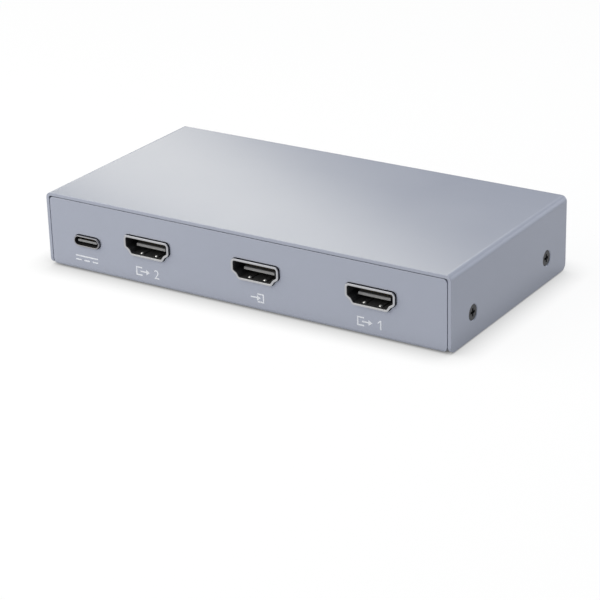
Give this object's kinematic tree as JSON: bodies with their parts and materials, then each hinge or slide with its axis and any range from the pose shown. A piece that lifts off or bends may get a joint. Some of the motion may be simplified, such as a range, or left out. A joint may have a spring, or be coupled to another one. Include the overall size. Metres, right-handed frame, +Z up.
{
  "type": "hdmi splitter",
  "caption": "Low rectangular folded sheet-metal box on rubber feet, with HDMI sockets and a power inlet along a long side, that copies a video signal to several screens.",
  "frame": {"origin": "under the middle of the box, on the surface that it stands on", "axes": "+X along the socket panel to the right as one faces it, +Y from the socket panel to the rear panel, +Z up"},
  "size_m": [0.133, 0.0692, 0.0226],
  "materials": {
    "case_metal": "satin anodised, cool grey",
    "black_steel": "black oxide",
    "rubber": "matte",
    "board": "green solder mask",
    "bright_metal": "bare",
    "plated_steel": "bright nickel plate",
    "socket_plastic": "moulded",
    "contact_gold": "gold flash",
    "chip_plastic": "moulded epoxy",
    "thermal_tape": "matte",
    "ferrite": "sintered",
    "ceramic": "fired",
    "lamp_resin": "moulded",
    "clear_acrylic": "polished"
  },
  "bodies": {
    "root": {"top_cover": "case_metal", "bottom_tray": "case_metal", "cover_screws": "black_steel", "foot_front_left": "rubber", "foot_front_right": "rubber", "foot_rear_left": "rubber", "foot_rear_right": "rubber", "circuit_board": "board", "board_standoffs": "bright_metal", "board_screws": "bright_metal", "heat_sink": "bright_metal", "crystal": "bright_metal", "input_capacitor": "bright_metal", "output_capacitor": "bright_metal", "left_socket_shell": "plated_steel", "middle_socket_shell": "plated_steel", "right_socket_shell": "plated_steel", "inlet_shell": "plated_steel", "left_socket_insert": "socket_plastic", "middle_socket_insert": "socket_plastic", "right_socket_insert": "socket_plastic", "inlet_insert": "socket_plastic", "left_socket_contacts": "contact_gold", "middle_socket_contacts": "contact_gold", "right_socket_contacts": "contact_gold", "inlet_contacts": "contact_gold", "splitter_chip": "chip_plastic", "controller_chip": "chip_plastic", "memory_chip": "chip_plastic", "regulator_chip": "chip_plastic", "left_guard_diodes": "chip_plastic", "middle_guard_diodes": "chip_plastic", "right_guard_diodes": "chip_plastic", "chip_resistors": "chip_plastic", "thermal_tape": "thermal_tape", "power_inductor": "ferrite", "chip_capacitors": "ceramic", "lamp_left": "lamp_resin", "lamp_middle": "lamp_resin", "lamp_right": "lamp_resin", "pipe_left": "clear_acrylic", "pipe_middle": "clear_acrylic", "pipe_right": "clear_acrylic"}
  },
  "joints": []
}
